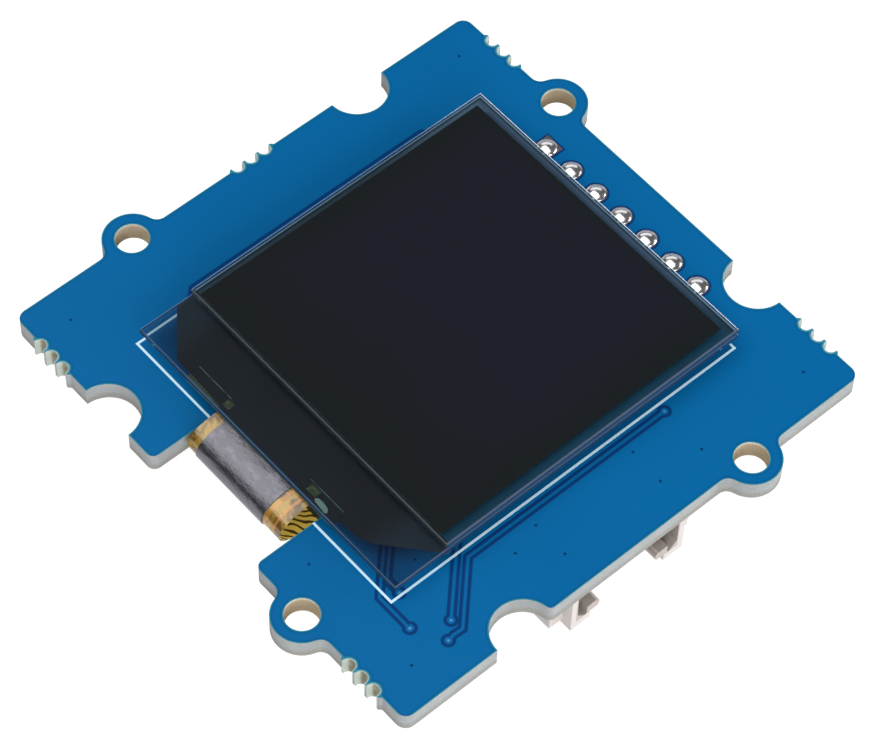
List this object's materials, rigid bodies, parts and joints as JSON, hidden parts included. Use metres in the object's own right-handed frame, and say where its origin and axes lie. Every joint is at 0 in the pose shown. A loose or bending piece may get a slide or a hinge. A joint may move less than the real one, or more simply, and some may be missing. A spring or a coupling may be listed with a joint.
{
  "type": "small oled display module",
  "caption": "Square dark display panel on a blue carrier board with screw ears, a folded ribbon, a pin header and a plug socket on its back.",
  "frame": {"origin": "centre of the four screw holes, on the front face of the board", "axes": "+Z out of the display along the screw holes, -X towards the ribbon's slot, -Y towards the plug socket's edge"},
  "size_m": [0.0442, 0.0442, 0.0123],
  "materials": {
    "blue_board": "satin blue solder mask on both faces, pale laminate at the edges",
    "white_print": "matt white print",
    "black_foam": "matt black foam",
    "display_glass": "clear polished glass with ground edges",
    "dark_film": "dark film sealed between the glasses",
    "clear_adhesive": "cured grey adhesive bead",
    "polariser_film": "smooth dark film with a soft sheen",
    "black_tape": "satin black tape",
    "silicon": "bare dark silicon",
    "amber_film": "glossy amber film over copper",
    "black_cover_film": "glossy black film, slightly wrinkled",
    "solder": "bright solder",
    "tinned_pad": "tinned copper ring",
    "header_plastic": "black moulded plastic",
    "gold_pin": "gold plated, bright",
    "cream_plastic": "cream moulded nylon",
    "tin_plate": "satin tin plate",
    "black_moulding": "black moulded package",
    "ferrite": "dark grey ground ferrite",
    "chip_capacitor": "tan ceramic with tinned ends",
    "chip_resistor": "black glazed top with tinned ends"
  },
  "bodies": {
    "root": {"circuit_board": "blue_board", "printed_frame": "white_print", "foam_tape": "black_foam", "rear_glass": "display_glass", "front_glass": "display_glass", "display_stack": "dark_film", "edge_seal": "clear_adhesive", "polariser": "polariser_film", "ledge_tape": "black_tape", "driver_chip": "silicon", "flex_ribbon": "amber_film", "ribbon_cover": "black_cover_film", "ribbon_solder_row": "solder", "header_pads": "tinned_pad", "solder_joints": "solder", "header_body": "header_plastic", "socket_housing": "cream_plastic", "socket_tab_left": "tin_plate", "socket_tab_right": "tin_plate", "regulator_body": "black_moulding", "regulator_leads": "tin_plate", "converter_body": "black_moulding", "converter_leads": "tin_plate", "diode_body": "black_moulding", "diode_leads": "tin_plate", "inductor_body": "ferrite", "inductor_terminals": "tin_plate", "header_pin_1": "gold_pin", "header_pin_2": "gold_pin", "header_pin_3": "gold_pin", "header_pin_4": "gold_pin", "header_pin_5": "gold_pin", "header_pin_6": "gold_pin", "header_pin_7": "gold_pin", "socket_contact_1": "tin_plate", "socket_contact_2": "tin_plate", "socket_contact_3": "tin_plate", "socket_contact_4": "tin_plate", "shifter_body_1": "black_moulding", "shifter_leads_1": "tin_plate", "shifter_body_2": "black_moulding", "shifter_leads_2": "tin_plate", "capacitor_1": "chip_capacitor", "capacitor_2": "chip_capacitor", "capacitor_3": "chip_capacitor", "capacitor_4": "chip_capacitor", "capacitor_5": "chip_capacitor", "capacitor_6": "chip_capacitor", "resistor_1": "chip_resistor", "resistor_2": "chip_resistor", "resistor_3": "chip_resistor", "resistor_4": "chip_resistor", "resistor_5": "chip_resistor", "resistor_6": "chip_resistor", "resistor_7": "chip_resistor", "resistor_8": "chip_resistor"}
  },
  "joints": []
}
